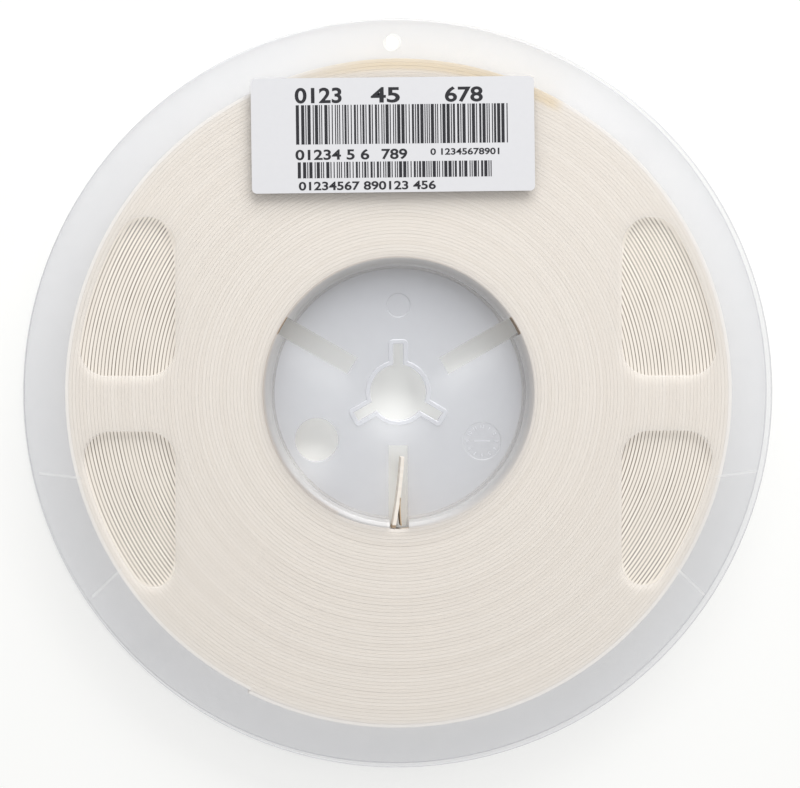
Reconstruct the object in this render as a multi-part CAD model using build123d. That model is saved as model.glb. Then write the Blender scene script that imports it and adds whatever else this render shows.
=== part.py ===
from build123d import *
from math import atan2, cos, degrees, floor, radians, sin
import os

# A tape reel for small components, wound with paper carrier tape. Millimetres, +Z up.
# The reel lies flat: its axis is Z, and z = 0 is the outer face of the rear flange.
# Angles are counted anticlockwise from +X, as seen from the front, that is from above.

# Whole reel
reel_diameter = 178.0
flange_thickness = 1.2
channel_width = 9.0

# Hub: the winding surface outside, the recess inside, the web across the middle
hub_diameter = 63.2
hub_wall = 1.3
wall_draft = 0.8
lip_radius = 1.7
lip_flats = 2
web_thickness = 1.3

# Arbor hole with its three keyways, and the raised collar round it
arbor_diameter = 13.4
keyway_width = 2.4
keyway_reach = 11.6
keyway_first_angle = 90.0
collar_width = 1.1
collar_height = 0.5

# Three slots that take the inner end of the tape, and the winder's drive hole
slot_width = 4.6
slot_inner_reach = 12.6
slot_lip_notch = 0.3
slot_first_angle = 30.0
spoke_count = 3
drive_hole_diameter = 10.3
drive_hole_reach = 22.4
drive_hole_angle = 210.0

# Round marks in the floor of the front recess: the gate and the mould's date insert
gate_mark_diameter = 5.5
gate_mark_reach = 20.8
gate_mark_angle = 90.0
date_mark_diameter = 8.8
date_mark_reach = 23.1
date_mark_angle = 330.0
mark_depth = 0.2

# Windows in each flange: straight inner side, round outer side, a bar between the upper and lower ones
window_rim_band = 12.5
window_depth = 23.5
window_upper_edge = 4.0
window_lower_edge = 9.0
window_corner_radius = 6.8
window_upper_tip_radius = 7.1
window_lower_tip_radius = 5.4
window_fillet_share = 0.31

# Hole near the rim, and the shallow writing pads beside the lower windows
rim_hole_diameter = 3.8
rim_hole_inset = 5.7
rim_hole_offset = -1.4
pad_apex = (47.8, -23.7)
pad_angles = (-44.0, 7.0)
pad_rim_margin = 1.6
pad_width = 9.6
pad_depth = 0.12

# Carrier tape: wound clockwise from the lower slot outwards
tape_width = 8.0
tape_thickness = 0.83
tape_rim_gap = 9.9
winding_clearance = 0.1
turn_relief = 0.4
turn_fan_margin = 1.5
free_end_angle = 243.4
tail_length = 17.0
tail_lean = 2.15
tail_bow = 0.25
tail_root_offset = -0.8
tail_root_depth = 0.6

# Adhesive strip round the outer turn, across from its free end, with a tab standing clear
strip_thickness = 0.4
strip_arc = 37.0
strip_tab = 7.0
strip_clearance = 0.02

# Paper label on the front flange
label_width = 67.2
label_height = 27.2
label_corner_radius = 1.2
label_thickness = 0.15
label_rim_distance = 27.8
label_offset = -1.5
label_turn = 0.7

# Worked out from the sizes above
reel_radius = reel_diameter / 2
reel_width = channel_width + 2 * flange_thickness
half_width = reel_width / 2
half_channel = channel_width / 2
hub_radius = hub_diameter / 2
recess_wall_radius = hub_radius - hub_wall
recess_floor_radius = recess_wall_radius - wall_draft
lip_edge_radius = recess_wall_radius + lip_radius
spoke_step = 360.0 / spoke_count
window_outer_radius = reel_radius - window_rim_band
window_inner_side = window_outer_radius - window_depth
pad_outer_radius = reel_radius - pad_rim_margin
tape_inner_radius = hub_radius + winding_clearance
tape_turns = floor((reel_radius - tape_rim_gap - tape_inner_radius) / tape_thickness)
tape_outer_radius = tape_inner_radius + tape_turns * tape_thickness
tape_top = flange_thickness + tape_width


def polar(radius, angle):
    """Point at a radius and an angle from +X."""
    return (radius * cos(radians(angle)), radius * sin(radians(angle)))


def half_section():
    """Section of a bare half: web, drafted hub wall, lip rounded in flats, and flange, from the joint plane up."""
    lip = CenterArc((lip_edge_radius, half_width - lip_radius), lip_radius, 90, 90)
    outline = [
        (0, 0),
        (hub_radius, 0),
        (hub_radius, half_channel),
        (reel_radius, half_channel),
        (reel_radius, half_width),
    ]
    outline += [lip @ (flat / lip_flats) for flat in range(lip_flats + 1)]
    outline += [(recess_floor_radius, web_thickness), (0, web_thickness)]
    return make_face(Polyline(*outline, close=True))


def arbor_outline():
    """Arbor hole and its keyways."""
    outline = Circle(arbor_diameter / 2)
    for spoke in range(spoke_count):
        turn = Rot(0, 0, keyway_first_angle + spoke * spoke_step)
        outline += turn * Pos(keyway_reach / 2, 0) * Rectangle(keyway_reach, keyway_width)
    return outline


def tape_slots():
    """Slots from the web out through the hub wall and the lip."""
    reach = lip_edge_radius + slot_lip_notch
    slots = Sketch()
    for spoke in range(spoke_count):
        turn = Rot(0, 0, slot_first_angle + spoke * spoke_step)
        slots += turn * Pos((slot_inner_reach + reel_radius) / 2, 0) * Rectangle(
            reel_radius - slot_inner_reach, slot_width
        )
    return slots & Circle(reach)


def window(edge, tip_radius):
    """Window right of the centre line and above the edge, with a rounded tip and corners."""
    field = Circle(window_outer_radius) & Pos(window_inner_side, edge) * Rectangle(
        window_outer_radius, window_outer_radius, align=Align.MIN
    )
    widest = window_fillet_share * window_depth
    field = fillet(field.vertices().sort_by(Axis.Y)[-1], min(tip_radius, widest))
    return fillet(field.vertices().sort_by(Axis.Y)[:2], min(window_corner_radius, widest))


def right_windows():
    """The upper and lower window on the right."""
    upper = window(window_upper_edge, window_upper_tip_radius)
    lower = window(window_lower_edge, window_lower_tip_radius)
    return upper + mirror(lower, Plane.XZ)


def flange_windows():
    """The four windows, alike to the left and right of the centre line."""
    return right_windows() + mirror(right_windows(), Plane.YZ)


def reel_half():
    """A half with all its openings. The joint plane is z = 0 and the flange is above it."""
    half = revolve(Plane.XZ * half_section(), Axis.Z)
    collar = offset(arbor_outline(), collar_width)
    half += Pos(0, 0, web_thickness) * extrude(collar, collar_height)
    openings = arbor_outline() + tape_slots() + flange_windows()
    openings += Pos(*polar(drive_hole_reach, drive_hole_angle)) * Circle(drive_hole_diameter / 2)
    openings += Pos(rim_hole_offset, reel_radius - rim_hole_inset) * Circle(rim_hole_diameter / 2)
    return half - extrude(openings, reel_width, both=True)


def writing_pads():
    """Shallow pads between the lower windows and the rim, alike left and right."""
    span = reel_diameter
    ring = Circle(pad_outer_radius) - Circle(pad_outer_radius - pad_width)
    corners = [pad_apex]
    for angle in pad_angles:
        reach = polar(span, angle)
        corners.append((pad_apex[0] + reach[0], pad_apex[1] + reach[1]))
    right = ring & make_face(Polyline(*corners, close=True))
    return right + mirror(right, Plane.YZ)


def web_marks():
    """Gate mark and date insert on the floor of the front recess."""
    gate = Pos(*polar(gate_mark_reach, gate_mark_angle)) * Circle(gate_mark_diameter / 2)
    return gate + Pos(*polar(date_mark_reach, date_mark_angle)) * Circle(date_mark_diameter / 2)


def front_half():
    """Front moulding: a half with the pads and marks that its face shows."""
    half = reel_half()
    half -= Pos(0, 0, half_width - pad_depth) * extrude(writing_pads(), flange_thickness)
    half -= Pos(0, 0, web_thickness - mark_depth) * extrude(web_marks(), web_thickness)
    return Pos(0, 0, half_width) * half


def rear_half():
    """Rear moulding: the mirror image, its web against the front web."""
    return Pos(0, 0, half_width) * mirror(reel_half(), Plane.XY)


def roll_outline():
    """Outer turn as a two-centre spiral that grows by one tape thickness clockwise from the free end."""
    start = tape_outer_radius - tape_thickness
    quarter = tape_thickness / 4
    first = CenterArc(polar(-quarter, free_end_angle), start + quarter, free_end_angle, -180)
    second = CenterArc(polar(quarter, free_end_angle), start + 3 * quarter, free_end_angle - 180, -180)
    step = Line(polar(tape_outer_radius, free_end_angle), polar(start, free_end_angle))
    return make_face([first, second, step])


def turn_cutter():
    """Cutter that leaves a sloping ring for each turn beside the windows, leaning in and out by turns."""
    first = window_inner_side - tape_thickness
    pairs = floor((tape_outer_radius - 2 * tape_thickness - first) / (2 * tape_thickness))
    profile = [(first, tape_top)]
    for pair in range(pairs):
        crest = first + 2 * pair * tape_thickness
        profile.append((crest + tape_thickness, tape_top - turn_relief))
        profile.append((crest + 2 * tape_thickness, tape_top))
    last = profile[-1][0]
    profile += [(last, tape_top + flange_thickness), (first, tape_top + flange_thickness)]
    angles = [degrees(atan2(corner.Y, corner.X)) for corner in right_windows().vertices()]
    start = min(angles) - turn_fan_margin
    fan = max(angles) + turn_fan_margin - start
    right = revolve(Rot(0, 0, start) * (Plane.XZ * make_face(Polyline(*profile, close=True))), Axis.Z, fan)
    return right + mirror(right, Plane.YZ)


def tape_tail():
    """Inner end of the tape, standing in the lower slot and leaning a little."""
    root = (tail_root_offset, -tape_inner_radius - tail_root_depth)
    tip = (tail_root_offset + tail_lean, -tape_inner_radius + tail_length)
    middle = ((root[0] + tip[0]) / 2 - tail_bow, (root[1] + tip[1]) / 2)
    near = ThreePointArc(root, middle, tip)
    far = Pos(tape_thickness, 0) * near
    outline = make_face([near, Line(near @ 1, far @ 1), far, Line(far @ 0, near @ 0)])
    return extrude(outline, tape_width)


def carrier_tape():
    """Whole roll of tape as one solid: its turns, its stepped outer end and its tail."""
    roll = extrude(roll_outline() - Circle(tape_inner_radius), tape_width) + tape_tail()
    return Pos(0, 0, flange_thickness) * roll - turn_cutter()


def end_strip():
    """Adhesive strip on the outer turn's first half, with a straight tab past the middle of that turn."""
    quarter = tape_thickness / 4
    middle_angle = free_end_angle - 180
    centre = polar(quarter, middle_angle)
    radius = tape_outer_radius - 3 * quarter + strip_clearance
    inner = CenterArc(centre, radius, middle_angle, strip_arc)
    outer = CenterArc(centre, radius + strip_thickness, middle_angle, strip_arc)
    along = polar(strip_tab, middle_angle - 90)
    tab_inner = (inner @ 0) + Vector(*along)
    tab_outer = (outer @ 0) + Vector(*along)
    tab = Polyline(inner @ 0, tab_inner, tab_outer, outer @ 0)
    outline = make_face([inner, tab, outer, Line(inner @ 1, outer @ 1)])
    return Pos(0, 0, flange_thickness) * extrude(outline, tape_width)


def label():
    """Rounded paper label, stuck flat on the front flange."""
    sheet = extrude(RectangleRounded(label_width, label_height, label_corner_radius), label_thickness)
    return Pos(label_offset, reel_radius - label_rim_distance, reel_width) * Rot(0, 0, label_turn) * sheet


pieces = {
    "front_half": front_half(),
    "rear_half": rear_half(),
    "carrier_tape": carrier_tape(),
    "end_strip": end_strip(),
    "label": label(),
}

os.makedirs("parts", exist_ok=True)
for name, piece in pieces.items():
    export_step(piece, f"parts/{name}.step")
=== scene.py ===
import random
from math import cos, pi, radians, sin, tau

import bmesh
import bpy
from mathutils import Matrix, Vector


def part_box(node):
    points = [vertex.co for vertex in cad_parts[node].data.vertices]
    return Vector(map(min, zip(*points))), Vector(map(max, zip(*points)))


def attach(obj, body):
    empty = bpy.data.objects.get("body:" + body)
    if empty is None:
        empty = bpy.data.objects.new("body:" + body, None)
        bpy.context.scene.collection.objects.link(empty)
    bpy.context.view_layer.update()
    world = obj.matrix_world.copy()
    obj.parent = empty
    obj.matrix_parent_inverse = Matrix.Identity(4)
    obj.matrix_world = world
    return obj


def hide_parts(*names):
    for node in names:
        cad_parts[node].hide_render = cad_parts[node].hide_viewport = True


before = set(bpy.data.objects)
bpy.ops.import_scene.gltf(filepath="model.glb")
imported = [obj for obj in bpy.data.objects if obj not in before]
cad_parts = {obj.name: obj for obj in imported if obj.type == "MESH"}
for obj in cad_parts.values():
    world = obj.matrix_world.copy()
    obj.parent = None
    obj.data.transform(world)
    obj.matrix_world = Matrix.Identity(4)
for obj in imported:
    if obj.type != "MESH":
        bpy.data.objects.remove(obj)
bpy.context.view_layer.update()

# A tape reel lying flat, label up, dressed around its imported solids. Metres; +Z is the reel's axis.
MM = 0.001

# Places that the imported solids give
front_low, front_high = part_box("front_half")
tape_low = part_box("carrier_tape")[0]
label_low, label_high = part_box("label")
reel_radius = front_high.x
joint_level = front_low.z
front_face = front_high.z

# Mouldings: where the lip and the edges lie, and how far they are rounded
recess_floor_radius = 29.5 * MM
recess_wall_radius = 30.3 * MM
lip_edge_radius = 32.0 * MM
lip_depth = 1.9 * MM
lip_rounding = 0.55 * MM
lip_outer_radius = lip_edge_radius + 1.1 * lip_rounding
lip_segments = 3
lip_margin = 0.1 * MM
lip_least_angle = radians(2)
edge_rounding = 0.2 * MM
edge_segments = 2
sharp_angle = radians(65)
pad_depth = 0.12 * MM
pad_step = (0.5 * pad_depth, 1.5 * pad_depth)
pad_slope = 0.6 * MM
pad_end_straightness = 0.5
web_thickness = 1.3 * MM
collar_reach = 13.2 * MM
slot_inner_reach = 12.6 * MM
slot_width = 4.6 * MM
slot_angles = (radians(30), radians(150), radians(270))
rim_hole = Vector((-1.4 * MM, 83.3 * MM))
rim_hole_reach = 2.5 * MM
flat_angle = radians(0.5)
smooth_angle = radians(14)
merge_distance = 0.001 * MM

# Tint and opacity of the plastic, by the place of its faces, with painted shade on the rim's edge and on
# the writing pads, and a painted highlight on the pads' sloped ends
flange_finish = (0.895, 0.905, 0.955, 0.10)
pad_painted_shade = (0.72, 0.73, 0.765, 0.13)
web_finish = (0.91, 0.93, 1.0, 0.24)
pad_end_highlight = (1.0, 1.0, 1.0, 0.32)
collar_finish = (0.91, 0.93, 1.0, 0.40)
wall_finish = (0.93, 0.93, 0.95, 0.12)
lip_finish = (0.96, 0.96, 0.97, 0.30)
rim_painted_shade = (0.62, 0.63, 0.67, 0.44)
numeral_finish = (0.93, 0.935, 0.975, 0.7)

# Plastic: its clouds and grain, its gloss, its painted warm glow over the tape, which stands in for the
# tape's light seen through it, and the light that it spreads
cloud_scale = 130.0
cloud_roughness = 0.08
cloud_opacity = 0.03
plastic_roughness = 0.3
plastic_ior = 2.2
plastic_gloss = 0.8
plastic_grain_scale = 1400.0
plastic_grain_strength = 0.08
plastic_grain_height = 0.05 * MM
tape_glow_tint = (0.93, 0.905, 0.865, 1.0)
tape_glow_fade = (2 * MM, MM)
spread_tint = (0.93, 0.93, 0.955, 1.0)
spread_share = 0.12

# Mould's date insert on the front web
date_reach = 23.1 * MM
date_angle = radians(330)
date_floor = joint_level + 1.1 * MM
numeral_count = 12
numeral_height = 1.15 * MM
numeral_ring = 3.4 * MM
numeral_relief = 0.08 * MM
date_bar = (3.8 * MM, 0.25 * MM)

# Windows in the flanges: their sides, the bar between upper and lower ones, and their rounding
window_inner_side = 53.0 * MM
window_outer_radius = 76.5 * MM
window_bar_middle = -2.5 * MM
window_bar_half = 6.5 * MM
window_corner = 6.8 * MM
window_lower_tip = 12.4 * MM
window_upper_tip = 17.0 * MM
window_blur = 0.3 * MM

# Wound tape: clockwise from the hub outwards
tape_turns = 57
tape_pitch = 0.83 * MM
tape_inner_radius = 31.7 * MM
tape_outer_radius = tape_inner_radius + tape_turns * tape_pitch
tape_width = 8.0 * MM
turn_gap = 0.015 * MM
turn_steps = 144
crest_rounding = 0.06 * MM
crest_segments = 2
turn_drift = 0.1 * MM
turn_seed = 5
free_end_angle = radians(243.4)
tail_root = Vector((-0.8 * MM, -32.3 * MM))
tail_reach = Vector((2.15 * MM, 16.9 * MM))
tail_bow = 0.25 * MM
film_root = Vector((0.75 * MM, -31.6 * MM))
film_reach = Vector((-0.25 * MM, 6.6 * MM))
film_bow = -0.2 * MM
film_thickness = 0.25 * MM
strand_steps = 12

# Paper of the tape: its tints, the painted shadow in the gaps between turns, the painted highlight on the
# last turn, a stain, and the painted shade at the hub side, by turns or from the roll's edges
paper_light = (0.931, 0.878, 0.806, 1.0)
paper_dark = (0.826, 0.763, 0.682, 1.0)
paper_roughness = 0.85
paper_gloss = 0.25
fibre_scale = 2600.0
fibre_share = 0.5
fibre_strength = 0.15
fibre_height = 0.05 * MM
gap_shadow_tint = (0.17, 0.125, 0.09, 1.0)
gap_side = (0.30, 0.42)
gap_by_turn = (0.5, 0.5)
gap_by_patch = (0.6, 0.7)
gap_under_flange = 0.08
patch_scale = 120.0
tail_clearance = 0.4 * MM
last_turn = (tape_turns - 1.6, tape_turns - 1.4)
last_turn_highlight = (0.98, 0.94, 0.88, 1.0)
stain_tint = (0.84, 0.66, 0.38, 1.0)
stain_share = 0.7
stain_depth = (1.5 * MM, 3 * MM)
stain_start = (0.36, 0.42)
stain_end = (0.503, 0.511)
hub_side_shade_tint = (0.34, 0.25, 0.17, 1.0)
hub_side_shade_depth = (0.3 * MM, MM)

# Other papers, film and ink: their lighter and darker tints, roughness and grain
film_edge = ((0.62, 0.47, 0.32, 1.0), (0.50, 0.36, 0.22, 1.0), 0.5, 1500.0)
tan_paper = ((0.72, 0.50, 0.22, 1.0), (0.60, 0.38, 0.15, 1.0), 0.7, 900.0)
label_paper = ((0.75, 0.75, 0.77, 1.0), (0.72, 0.72, 0.74, 1.0), 0.5, 700.0)
label_ink = ((0.035, 0.035, 0.04, 1.0), (0.02, 0.02, 0.025, 1.0), 0.6, 900.0)
sheet_gloss = 0.3
sheet_grain_strength = 0.1
sheet_grain_height = 0.02 * MM

# Label: places of its print, in millimetres right of and above its centre
label_centre = (label_low + label_high) / 2
label_turn = radians(0.7)
ink_thickness = 0.02 * MM
print_boldness = 0.025
numerals = (
    ("0123", -23.2, 7.6, 11.1, 3.7),
    ("45", -5.2, 7.6, 6.9, 3.7),
    ("678", 12.4, 7.6, 9.0, 3.7),
    ("01234 5 6", -23.2, -5.8, 17.5, 2.5),
    ("789", -2.8, -5.8, 6.1, 2.5),
    ("0 12345678901", 8.8, -4.9, 16.4, 1.6),
    ("01234567 890123 456", -22.5, -13.0, 32.5, 2.1),
)
bar_fields = (
    (-23.0, -2.1, 50.5, 9.3),
    (-22.7, -10.1, 46.5, 3.8),
)
bar_unit = 0.25 * MM
bar_widths = (1, 1, 2, 3)
bar_spaces = (1, 1, 2)
bar_seed = 11

# Floor and light: a white floor whose painted white glow is weaker under the reel's hub, so that the floor
# shows darker there, even light all round and one soft box beyond the label
floor_size = 6.0
floor_gap = 0.05 * MM
floor_colour = (0.96, 0.965, 0.93, 1.0)
background_colour = (1.0, 1.0, 1.0, 1.0)
floor_glow_share = (0.1, 0.6)
floor_glow_reach = (recess_wall_radius, 1.5 * recess_wall_radius)
world_level = 0.41
soft_box_position = (0.2, 1.0, 0.72)
soft_box_size = (1.2, 0.8)
soft_box_power = 20.3

# Camera: above the reel, a little towards its left and top
photo_scale = 4.216 / MM
photo_size = (800, 788)
photo_centre = (399.4, 393.0)
camera_distance = 1200 * MM
camera_left = radians(3.3)
camera_up = radians(1.4)
sensor_width = 36.0


class Wire:
    """A node's output. Arithmetic with other wires and numbers adds Math nodes."""

    def __init__(self, finish, socket):
        self.finish = finish
        self.socket = socket

    def math(self, operation, first, second):
        return self.finish.node("ShaderNodeMath", {"operation": operation}, {0: first, 1: second})

    def __add__(self, other):
        return self.math("ADD", self, other)

    def __radd__(self, other):
        return self.math("ADD", other, self)

    def __sub__(self, other):
        return self.math("SUBTRACT", self, other)

    def __rsub__(self, other):
        return self.math("SUBTRACT", other, self)

    def __mul__(self, other):
        return self.math("MULTIPLY", self, other)

    def __rmul__(self, other):
        return self.math("MULTIPLY", other, self)

    def __truediv__(self, other):
        return self.math("DIVIDE", self, other)


class Finish:
    """A material while it is wired."""

    def __init__(self, name):
        self.material = bpy.data.materials.new(name)
        self.material.use_nodes = True
        self.tree = self.material.node_tree
        self.tree.nodes.clear()

    def node(self, kind, settings=None, inputs=None, output=0):
        """Adds a node, sets it up, feeds its sockets and gives one of its outputs."""
        made = self.tree.nodes.new(kind)
        for name, value in (settings or {}).items():
            setattr(made, name, value)
        for socket, value in (inputs or {}).items():
            if isinstance(value, Wire):
                self.tree.links.new(value.socket, made.inputs[socket])
            else:
                made.inputs[socket].default_value = value
        return Wire(self, made.outputs[output]) if made.outputs else None

    def place(self):
        """The piece's own coordinates."""
        return self.node("ShaderNodeTexCoord", output="Object")

    def axes(self, place):
        """The three parts of a place."""
        return [self.node("ShaderNodeSeparateXYZ", inputs={0: place}, output=axis) for axis in "XYZ"]

    def size(self, value):
        """A value without its sign."""
        return self.node("ShaderNodeMath", {"operation": "ABSOLUTE"}, {0: value})

    def larger(self, first, second):
        """The larger of two values."""
        return self.node("ShaderNodeMath", {"operation": "MAXIMUM"}, {0: first, 1: second})

    def smaller(self, first, second):
        """The smaller of two values."""
        return self.node("ShaderNodeMath", {"operation": "MINIMUM"}, {0: first, 1: second})

    def root(self, value):
        """A square root."""
        return self.node("ShaderNodeMath", {"operation": "SQRT"}, {0: value})

    def length(self, x, y):
        """How far from the reel's axis."""
        return self.root(x * x + y * y)

    def noise(self, place, scale, detail=2.0, roughness=0.5):
        """Soft noise, from 0 to 1."""
        return self.node(
            "ShaderNodeTexNoise",
            inputs={"Vector": place, "Scale": scale, "Detail": detail, "Roughness": roughness},
        )

    def span(self, value, low, high, to_low=0.0, to_high=1.0):
        """The value's stretch from low to high, laid smoothly on another and held at its ends."""
        return self.node(
            "ShaderNodeMapRange",
            {"interpolation_type": "SMOOTHSTEP"},
            {"Value": value, "From Min": low, "From Max": high, "To Min": to_low, "To Max": to_high},
        )

    def blend(self, amount, first, second):
        """A colour between two."""
        return self.node("ShaderNodeMix", {"data_type": "RGBA"}, {0: amount, 6: first, 7: second}, output=2)

    def bump(self, height, strength, distance):
        """A normal that follows a height."""
        return self.node(
            "ShaderNodeBump", inputs={"Height": height, "Strength": strength, "Distance": distance}
        )

    def surface(self, shader):
        """Ends the material with a shader."""
        self.node("ShaderNodeOutputMaterial", inputs={"Surface": shader})
        return self.material


def milky_plastic():
    """Translucent white moulded plastic, faintly cloudy, with a fine grain, its colour painted warm over
    the tape for the tape's light seen through it.
    """
    finish = Finish("milky_plastic")
    place = finish.place()
    x, y, _ = finish.axes(place)
    radius = finish.length(x, y)
    cloud = finish.noise(place, cloud_scale, 2.0, 0.6)
    grain = finish.noise(place, plastic_grain_scale, 0.0, 0.5)
    tint = finish.node("ShaderNodeAttribute", {"attribute_name": "finish"}, output="Color")
    opacity = finish.node("ShaderNodeAttribute", {"attribute_name": "finish"}, output="Alpha")
    # Painted light: the base colour turns warm where the tape lies beneath, for the tape's light seen
    # through the plastic
    tape_glow = finish.span(radius, tape_inner_radius, tape_inner_radius + tape_glow_fade[0])
    past_tape = finish.span(radius, tape_outer_radius - tape_glow_fade[1], tape_outer_radius)
    tape_glow = tape_glow * (1 - past_tape)
    body = finish.node(
        "ShaderNodeBsdfPrincipled",
        inputs={
            "Base Color": finish.blend(tape_glow, tint, tape_glow_tint),
            "Roughness": plastic_roughness + cloud_roughness * cloud,
            "IOR": plastic_ior,
            "Specular IOR Level": plastic_gloss,
            "Alpha": opacity + cloud_opacity * cloud,
            "Normal": finish.bump(grain, plastic_grain_strength, plastic_grain_height),
        },
    )
    spread = finish.node("ShaderNodeBsdfTranslucent", inputs={"Color": spread_tint})
    return finish.surface(finish.node("ShaderNodeMixShader", inputs={0: spread_share, 1: body, 2: spread}))


def inside_corner(finish, rounding, sides):
    """How far inside a rounded corner a place is, from its distances to the corner's sides."""
    squares = []
    for side in sides:
        short = finish.larger(rounding - side, 0.0)
        squares.append(short * short)
    total = squares[0]
    for square in squares[1:]:
        total = total + square
    return rounding - finish.root(total)


def seen_in_windows(finish, x, y, radius):
    """Where the windows let light fall straight on the turns, so that the gaps between them are dark."""
    beside = finish.size(x) - window_inner_side
    within = window_outer_radius - radius
    beyond_bar = finish.size(y - window_bar_middle) - window_bar_half
    upper = finish.node("ShaderNodeMath", {"operation": "GREATER_THAN"}, {0: y, 1: window_bar_middle})
    tip = window_lower_tip + (window_upper_tip - window_lower_tip) * upper
    in_tip = inside_corner(finish, tip, (beside, within))
    in_corners = inside_corner(finish, window_corner, (beside, beyond_bar, within))
    return finish.span(finish.smaller(in_tip, in_corners), 0.0, window_blur)


def wound_paper():
    """Cream paper edges, each turn in its own shade, with a painted shadow between turns, a painted
    highlight on the last turn, a stain and painted shade at the hub side.
    """
    finish = Finish("wound_paper")
    place = finish.place()
    x, y, _ = finish.axes(place)
    radius = finish.length(x, y)
    turned_x = x * cos(free_end_angle) + y * sin(free_end_angle)
    turned_y = y * cos(free_end_angle) - x * sin(free_end_angle)
    round_angle = finish.node("ShaderNodeMath", {"operation": "ARCTAN2"}, {0: -1.0 * turned_y, 1: turned_x})
    part_turn = finish.node("ShaderNodeMath", {"operation": "FRACT"}, {0: round_angle / tau + 1.0})
    count = (radius - tape_inner_radius) / tape_pitch - part_turn
    turn = finish.node("ShaderNodeMath", {"operation": "FLOOR"}, {0: count})
    across = count - turn
    shade = finish.node("ShaderNodeTexWhiteNoise", {"noise_dimensions": "1D"}, {"W": turn})
    fibre = finish.noise(place, fibre_scale, 2.0, 0.6)
    wound = finish.span(radius, tape_inner_radius - tail_clearance, tape_inner_radius)
    patch = finish.noise(place, patch_scale, 2.0, 0.5)
    # Painted shadow in the gaps between turns, deep only where the windows show them
    gap = finish.span(finish.size(across - 0.5), *gap_side) * wound
    gap = gap * (gap_by_turn[0] + gap_by_turn[1] * shade) * (gap_by_patch[0] + gap_by_patch[1] * patch)
    gap = gap * (gap_under_flange + (1 - gap_under_flange) * seen_in_windows(finish, x, y, radius))
    paper = finish.blend(shade * (1 - fibre_share) + fibre * fibre_share, paper_dark, paper_light)
    # Painted highlight on the outermost turn
    paper = finish.blend(finish.span(turn, *last_turn), paper, last_turn_highlight)
    stained = 1 - finish.span(tape_outer_radius - radius, *stain_depth)
    stained = stained * finish.span(part_turn, *stain_start) * (1 - finish.span(part_turn, *stain_end))
    paper = finish.blend(stain_share * stained, paper, stain_tint)
    # Painted shade: the paper turns dark brown at the innermost turns, where the hub side lies in shadow
    past_hub_side = finish.span(radius - tape_inner_radius, *hub_side_shade_depth)
    paper = finish.blend(wound * (1 - past_hub_side), paper, hub_side_shade_tint)
    colour = finish.blend(gap, paper, gap_shadow_tint)
    shader = finish.node(
        "ShaderNodeBsdfPrincipled",
        inputs={
            "Base Color": colour,
            "Roughness": paper_roughness,
            "Specular IOR Level": paper_gloss,
            "Normal": finish.bump(fibre, fibre_strength, fibre_height),
        },
    )
    return finish.surface(shader)


def plain_paper(name, light, dark, roughness, grain_scale):
    """Paper with a fine grain."""
    finish = Finish(name)
    grain = finish.noise(finish.place(), grain_scale, 3.0, 0.6)
    shader = finish.node(
        "ShaderNodeBsdfPrincipled",
        inputs={
            "Base Color": finish.blend(grain, dark, light),
            "Roughness": roughness,
            "Specular IOR Level": sheet_gloss,
            "Normal": finish.bump(grain, sheet_grain_strength, sheet_grain_height),
        },
    )
    return finish.surface(shader)


def white_floor():
    """Plain white floor that keeps the reel's shadow, with a painted white glow for camera, glossy and
    transmission rays that is weaker under the reel's hub, so that the floor shows darker there.
    """
    finish = Finish("white_floor")
    camera = finish.node("ShaderNodeLightPath", output="Is Camera Ray")
    glossy = finish.node("ShaderNodeLightPath", output="Is Glossy Ray")
    through = finish.node("ShaderNodeLightPath", output="Is Transmission Ray")
    seen = finish.larger(finish.larger(camera, glossy), through)
    matt = finish.node("ShaderNodeBsdfDiffuse", inputs={"Color": floor_colour})
    lit = finish.node("ShaderNodeEmission", inputs={"Color": background_colour, "Strength": 1.0})
    x, y, _ = finish.axes(finish.place())
    # Painted shade: less of the white glow under the hub, so that the floor shows darker through the reel's
    # holes
    share = finish.span(finish.length(x, y), *floor_glow_reach, *floor_glow_share)
    return finish.surface(finish.node("ShaderNodeMixShader", inputs={0: seen * share, 1: matt, 2: lit}))


def pick(piece):
    """Selects one piece alone and makes it the active one."""
    bpy.ops.object.select_all(action="DESELECT")
    piece.select_set(True)
    bpy.context.view_layer.objects.active = piece


def join(pieces, name):
    """Joins pieces into one, with its place in its mesh."""
    pick(pieces[0])
    for piece in pieces:
        piece.select_set(True)
    bpy.ops.object.join()
    joined = bpy.context.object
    joined.name = name
    joined.data.name = name
    bpy.ops.object.transform_apply(location=True, rotation=True, scale=True)
    return joined


def merge(piece):
    """Merges the doubles of a piece."""
    pick(piece)
    bpy.ops.object.mode_set(mode="EDIT")
    bpy.ops.mesh.select_all(action="SELECT")
    bpy.ops.mesh.remove_doubles(threshold=merge_distance)
    bpy.ops.object.mode_set(mode="OBJECT")


def select_edges(piece, test):
    """Selects the edges of a piece in edit mode that pass a test."""
    bpy.ops.mesh.select_mode(type="EDGE")
    bpy.ops.mesh.select_all(action="DESELECT")
    shape = bmesh.from_edit_mesh(piece.data)
    for edge in shape.edges:
        edge.select_set(test(edge))
    bmesh.update_edit_mesh(piece.data)


def on_lip(edge):
    """Is this a ring of the hub's lip, on either face?"""
    middle = (edge.verts[0].co + edge.verts[1].co) / 2
    depth = front_face / 2 - abs(middle.z - front_face / 2)
    level = abs(edge.verts[0].co.z - edge.verts[1].co.z) < merge_distance
    near = recess_wall_radius - lip_margin < middle.xy.length < lip_edge_radius + lip_margin
    angle = edge.calc_face_angle(0.0)
    return level and near and depth < lip_depth and lip_least_angle < angle < sharp_angle


def in_slot(point):
    """Does a point lie on the edge of one of the hub's slots?"""
    for angle in slot_angles:
        along = Vector((cos(angle), sin(angle)))
        reach = point.xy.dot(along)
        if reach > slot_inner_reach - edge_rounding and abs(point.xy.cross(along)) < slot_width:
            return point.xy.length < lip_edge_radius + lip_depth
    return False


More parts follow.
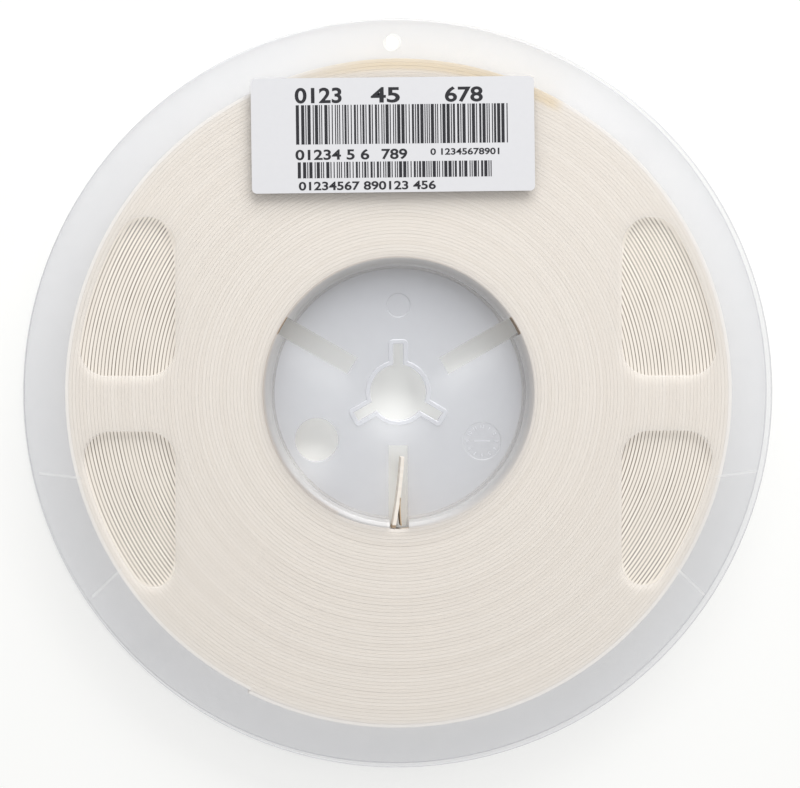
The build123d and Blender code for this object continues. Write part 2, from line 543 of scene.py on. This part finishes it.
def tallest_face(edge):
    """Height of the taller of an edge's faces."""
    tallest = 0.0
    for face in edge.link_faces:
        levels = [vertex.co.z for vertex in face.verts]
        tallest = max(tallest, max(levels) - min(levels))
    return tallest


def on_outline(edge):
    """Is this an outer edge of the rim, a window, a hole or the collar?"""
    ends = [vertex.co for vertex in edge.verts]
    middle = (ends[0] + ends[1]) / 2
    if edge.calc_face_angle_signed(0.0) < sharp_angle or in_slot(middle):
        return False
    if (middle.xy - rim_hole).length < rim_hole_reach:
        return False
    return tallest_face(edge) > pad_step[1] and abs(ends[0].z - joint_level) > merge_distance


def on_pad_end(edge):
    """Is this the upper edge at a straight end of a writing pad?"""
    ends = [vertex.co for vertex in edge.verts]
    along = (ends[1] - ends[0]).normalized()
    outwards = (ends[0] + ends[1]).normalized()
    level = min(end.z for end in ends) > front_face - merge_distance
    straight = abs(along.dot(outwards)) > pad_end_straightness
    return level and straight and pad_step[0] < tallest_face(edge) < pad_step[1]


def slope_pad_ends(piece):
    """Leans the straight ends of the writing pads back, in edit mode, so that they catch the light."""
    select_edges(piece, on_pad_end)
    shape = bmesh.from_edit_mesh(piece.data)
    for edge in shape.edges:
        if edge.select:
            wall = min(edge.link_faces, key=lambda face: abs(face.normal.z))
            for vertex in edge.verts:
                tangent = Vector((-vertex.co.y, vertex.co.x, 0))
                side = -1 if wall.normal.dot(tangent) > 0 else 1
                vertex.co.rotate(Matrix.Rotation(side * pad_slope / vertex.co.xy.length, 3, "Z"))
    bmesh.update_edit_mesh(piece.data)


def face_finish(points):
    """Tint and opacity of a moulding's face, by the place of its corners, with painted shade on the rim's
    edge and pads and a painted highlight on the pads' sloped ends.
    """
    radii = [point.xy.length for point in points]
    depths = [abs(point.z - joint_level) for point in points]
    lowest = min(point.z for point in points)
    highest = max(point.z for point in points)
    # Painted shade: the faces at the rim's edge are tinted dark grey
    if min(radii) > reel_radius - 2 * edge_rounding:
        return rim_painted_shade
    if min(radii) > recess_floor_radius - edge_rounding and max(radii) < lip_outer_radius:
        return lip_finish if min(depths) > front_face - joint_level - lip_depth else wall_finish
    raised = max(depths) > web_thickness
    if max(radii) < collar_reach and min(depths) > web_thickness - edge_rounding and raised:
        return collar_finish
    if max(radii) < recess_wall_radius:
        return web_finish
    # Writing pads: painted shade on their floors, and a painted highlight on their sloped ends
    if abs(lowest - front_face + pad_depth) < merge_distance:
        return pad_end_highlight if highest - lowest > merge_distance else pad_painted_shade
    return flange_finish


def keep_finish(piece, choose):
    """Keeps each face's tint and opacity on the piece, painted shade and highlight among them, for its
    material to read.
    """
    kept = piece.data.attributes.new("finish", "FLOAT_COLOR", "FACE")
    for face, cell in zip(piece.data.polygons, kept.data):
        cell.color = choose([piece.data.vertices[index].co for index in face.vertices])


def moulding(node, name):
    """A half of the reel with its lip and edges rounded as the mould leaves them."""
    half = bpy.data.objects.new(name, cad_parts[node].data.copy())
    bpy.context.collection.objects.link(half)
    pick(half)
    bpy.ops.object.mode_set(mode="EDIT")
    bpy.ops.mesh.select_all(action="SELECT")
    bpy.ops.mesh.customdata_custom_splitnormals_clear()
    bpy.ops.mesh.remove_doubles(threshold=merge_distance)
    bpy.ops.mesh.dissolve_limited(angle_limit=flat_angle)
    select_edges(half, on_lip)
    bpy.ops.mesh.bevel(offset=lip_rounding, segments=lip_segments, affect="EDGES", clamp_overlap=True)
    select_edges(half, on_outline)
    bpy.ops.mesh.bevel(offset=edge_rounding, segments=edge_segments, affect="EDGES", clamp_overlap=True)
    slope_pad_ends(half)
    bpy.ops.object.mode_set(mode="OBJECT")
    bpy.ops.object.shade_smooth_by_angle(angle=smooth_angle)
    weighting = half.modifiers.new("even_shading", "WEIGHTED_NORMAL")
    weighting.keep_sharp = True
    bpy.ops.object.modifier_apply(modifier=weighting.name)
    keep_finish(half, face_finish)
    return half


def raised_text(words, height, centre, turn, thickness, boldness=0.0):
    """Words as a mesh, flat in XY, with their middle at a point."""
    bpy.ops.object.select_all(action="DESELECT")
    bpy.ops.object.text_add()
    text = bpy.context.object
    text.data.body = words
    text.data.align_x = "CENTER"
    text.data.align_y = "CENTER"
    text.data.size = height
    text.data.extrude = thickness / 2
    text.data.offset = boldness
    bpy.ops.object.convert(target="MESH")
    text = bpy.context.object
    merge(text)
    text.matrix_world = Matrix.Translation(centre) @ Matrix.Rotation(turn, 4, "Z")
    bpy.ops.object.transform_apply(location=True, rotation=True, scale=True)
    return text


def date_numerals():
    """Ring of raised numerals with a bar across, on the mould's date insert."""
    middle = Vector((date_reach * cos(date_angle), date_reach * sin(date_angle), date_floor))
    pieces = []
    for number in range(1, numeral_count + 1):
        turn = -tau * number / numeral_count
        arm = Vector((-sin(turn), cos(turn), 0)) * numeral_ring
        pieces.append(raised_text(str(number), numeral_height, middle + arm, turn, numeral_relief))
    bpy.ops.object.select_all(action="DESELECT")
    bpy.ops.mesh.primitive_cube_add(size=1, location=middle, scale=(*date_bar, numeral_relief))
    pieces.append(bpy.context.object)
    ring = join(pieces, "date_numerals")
    keep_finish(ring, lambda points: numeral_finish)
    return ring


def turn_section():
    """Sections of all the turns, side by side, each with a rounded front edge."""
    bpy.ops.object.select_all(action="DESELECT")
    middle = (tape_inner_radius + tape_pitch / 2, 0, tape_low.z + tape_width / 2)
    bpy.ops.mesh.primitive_plane_add(size=1, location=middle, rotation=(pi / 2, 0, 0))
    section = bpy.context.object
    section.scale = (tape_pitch - turn_gap, tape_width, 1)
    bpy.ops.object.transform_apply(location=True, rotation=True, scale=True)
    bpy.ops.object.mode_set(mode="EDIT")
    bpy.ops.mesh.select_mode(type="VERT")
    bpy.ops.mesh.select_all(action="DESELECT")
    shape = bmesh.from_edit_mesh(section.data)
    for corner in shape.verts:
        corner.select_set(corner.co.z > middle[2])
    bmesh.update_edit_mesh(section.data)
    bpy.ops.mesh.bevel(offset=crest_rounding, segments=crest_segments, affect="VERTICES")
    bpy.ops.mesh.select_all(action="SELECT")
    bpy.ops.mesh.delete(type="ONLY_FACE")
    bpy.ops.object.mode_set(mode="OBJECT")
    row = section.modifiers.new("turns", "ARRAY")
    row.count = tape_turns
    row.use_relative_offset = False
    row.use_constant_offset = True
    row.constant_offset_displace = (tape_pitch, 0, 0)
    bpy.ops.object.modifier_apply(modifier=row.name)
    return section


def wind(roll, points):
    """Winds rings of a spun section into one spiral whose turns stand a little uneven."""
    draw = random.Random(turn_seed)
    drift = [draw.uniform(0, turn_drift) for _ in range(tape_turns + 1)]
    per_turn = points // tape_turns
    for vertex in roll.data.vertices:
        step, place = divmod(vertex.index, points)
        turn = place // per_turn
        part = step / turn_steps
        radius = vertex.co.xy.length + part * tape_pitch
        angle = free_end_angle - part * tau
        lift = drift[turn] * (1 - part) + drift[turn + 1] * part
        vertex.co = (radius * cos(angle), radius * sin(angle), vertex.co.z + lift)


def tape_roll():
    """The wound tape as one spiral strip."""
    roll = turn_section()
    points = len(roll.data.vertices)
    bpy.ops.object.mode_set(mode="EDIT")
    bpy.ops.mesh.select_all(action="SELECT")
    bpy.ops.mesh.spin(
        steps=turn_steps, angle=tau, center=(0, 0, 0), axis=(0, 0, 1), use_auto_merge=False
    )
    bpy.ops.object.mode_set(mode="OBJECT")
    wind(roll, points)
    bpy.ops.object.mode_set(mode="EDIT")
    bpy.ops.mesh.select_all(action="SELECT")
    bpy.ops.mesh.remove_doubles(threshold=merge_distance)
    bpy.ops.mesh.select_mode(type="EDGE")
    bpy.ops.mesh.select_all(action="DESELECT")
    bpy.ops.mesh.select_non_manifold()
    bpy.ops.mesh.fill_holes(sides=0)
    bpy.ops.mesh.select_all(action="SELECT")
    bpy.ops.mesh.normals_make_consistent(inside=False)
    bpy.ops.object.mode_set(mode="OBJECT")
    return roll


def standing_strand(root, reach, bow, thickness):
    """A strand that stands on edge in the lower slot, from its root to its tip, bowed to one side."""
    bpy.ops.object.select_all(action="DESELECT")
    bpy.ops.mesh.primitive_grid_add(x_subdivisions=strand_steps, y_subdivisions=1, size=1)
    strand = bpy.context.object
    for vertex in strand.data.vertices:
        along = vertex.co.x + 0.5
        spot = root + reach * along
        spot.x += 4 * bow * along * (1 - along)
        vertex.co = (spot.x, spot.y, tape_low.z + tape_width * (vertex.co.y + 0.5))
    wall = strand.modifiers.new("thickness", "SOLIDIFY")
    wall.thickness = thickness
    wall.offset = -1
    bpy.ops.object.modifier_apply(modifier=wall.name)
    return strand


def carrier_tape():
    """All of the paper tape: its turns and its tail."""
    tail = standing_strand(tail_root, tail_reach, tail_bow, tape_pitch)
    tape = join([tape_roll(), tail], "wound_tape")
    bpy.ops.object.shade_smooth_by_angle(angle=smooth_angle)
    return tape


def cover_film():
    """End of the tape's cover film, parted from the paper at its tail."""
    film = join([standing_strand(film_root, film_reach, film_bow, film_thickness)], "cover_film")
    bpy.ops.object.shade_smooth_by_angle(angle=smooth_angle)
    return film


def label_point(right, above):
    """A point on the label's face, from millimetres right of and above its centre."""
    face = Vector((label_centre.x, label_centre.y, label_high.z + ink_thickness / 2))
    return face + Matrix.Rotation(label_turn, 3, "Z") @ Vector((right, above, 0)) * MM


def printed_numerals(words, left, base, width, height):
    """A row of plain numerals that fills a box on the label."""
    text = raised_text(words, height * MM, Vector(), 0, ink_thickness, print_boldness * height * MM)
    size = text.dimensions
    corner = Vector((min(v.co.x for v in text.data.vertices), min(v.co.y for v in text.data.vertices), 0))
    fit = Matrix.Diagonal((width * MM / size.x, height * MM / size.y, 1, 1))
    turn = Matrix.Rotation(label_turn, 4, "Z")
    spot = Matrix.Translation(label_point(left, base))
    text.data.transform(spot @ turn @ fit @ Matrix.Translation(-corner))
    return text


def printed_bars(left, base, width, height):
    """A field of upright bars of random widths."""
    draw = random.Random(bar_seed)
    bars = []
    at = 0.0
    while at < width * MM:
        thick = draw.choice(bar_widths) * bar_unit
        middle = label_point(left + (at + thick / 2) / MM, base + height / 2)
        bpy.ops.object.select_all(action="DESELECT")
        size = (thick, height * MM, ink_thickness)
        bpy.ops.mesh.primitive_cube_add(size=1, location=middle, rotation=(0, 0, label_turn), scale=size)
        bars.append(bpy.context.object)
        at += thick + draw.choice(bar_spaces) * bar_unit
    return bars


def label_print():
    """All the print on the label."""
    pieces = [printed_numerals(*row) for row in numerals]
    for field in bar_fields:
        pieces += printed_bars(*field)
    return join(pieces, "label_print")


def paint(piece, material):
    """Gives a piece one material."""
    piece.data.materials.clear()
    piece.data.materials.append(material)


def place_camera():
    """Camera above the reel, framed as the photograph is."""
    away = Vector((-sin(camera_left), sin(camera_up), 0))
    away.z = (1 - away.length_squared) ** 0.5
    right = Vector((0, 1, 0)).cross(away).normalized()
    up = away.cross(right)
    middle = Vector((0, 0, front_face))
    middle.x += (photo_size[0] / 2 - photo_centre[0]) / photo_scale
    middle.y += (photo_centre[1] - photo_size[1] / 2) / photo_scale
    data = bpy.data.cameras.new("camera")
    data.sensor_width = sensor_width
    data.lens = sensor_width * camera_distance * photo_scale / photo_size[0]
    camera = bpy.data.objects.new("camera", data)
    bpy.context.collection.objects.link(camera)
    camera.matrix_world = Matrix.Translation(middle + away * camera_distance) @ Matrix(
        (right, up, away)
    ).transposed().to_4x4()
    bpy.context.scene.camera = camera


def place_light(name, position, size, power):
    """A soft box that faces the reel."""
    data = bpy.data.lights.new(name, "AREA")
    data.shape = "RECTANGLE"
    data.size, data.size_y = size
    data.energy = power
    light = bpy.data.objects.new(name, data)
    bpy.context.collection.objects.link(light)
    light.location = position
    light.rotation_euler = Vector(position).to_track_quat("Z", "Y").to_euler()


def place_world(level):
    """Even white light all round."""
    world = bpy.data.worlds.new("studio")
    bpy.context.scene.world = world
    world.use_nodes = True
    back = world.node_tree.nodes["Background"]
    back.inputs["Color"].default_value = background_colour
    back.inputs["Strength"].default_value = level


def floor():
    """Plain floor under the reel."""
    bpy.ops.object.select_all(action="DESELECT")
    bpy.ops.mesh.primitive_plane_add(size=floor_size, location=(0, 0, -floor_gap))
    ground = bpy.context.object
    ground.name = "floor"
    bpy.ops.object.transform_apply(location=True, rotation=True, scale=True)
    paint(ground, white_floor())


plastic = milky_plastic()
for node, name in (("front_half", "front_moulding"), ("rear_half", "rear_moulding")):
    half = moulding(node, name)
    paint(half, plastic)
    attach(half, "root")
    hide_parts(node)

numerals_piece = date_numerals()
paint(numerals_piece, plastic)
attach(numerals_piece, "root")

tape = carrier_tape()
paint(tape, wound_paper())
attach(tape, "root")
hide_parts("carrier_tape")

film = cover_film()
paint(film, plain_paper("film_edge", *film_edge))
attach(film, "root")

paint(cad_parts["end_strip"], plain_paper("tan_paper", *tan_paper))
paint(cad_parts["label"], plain_paper("label_paper", *label_paper))

ink = label_print()
paint(ink, plain_paper("label_ink", *label_ink))
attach(ink, "root")

floor()
place_world(world_level)
place_light("soft_box", soft_box_position, soft_box_size, soft_box_power)
place_camera()
bpy.context.scene.view_settings.view_transform = "Standard"
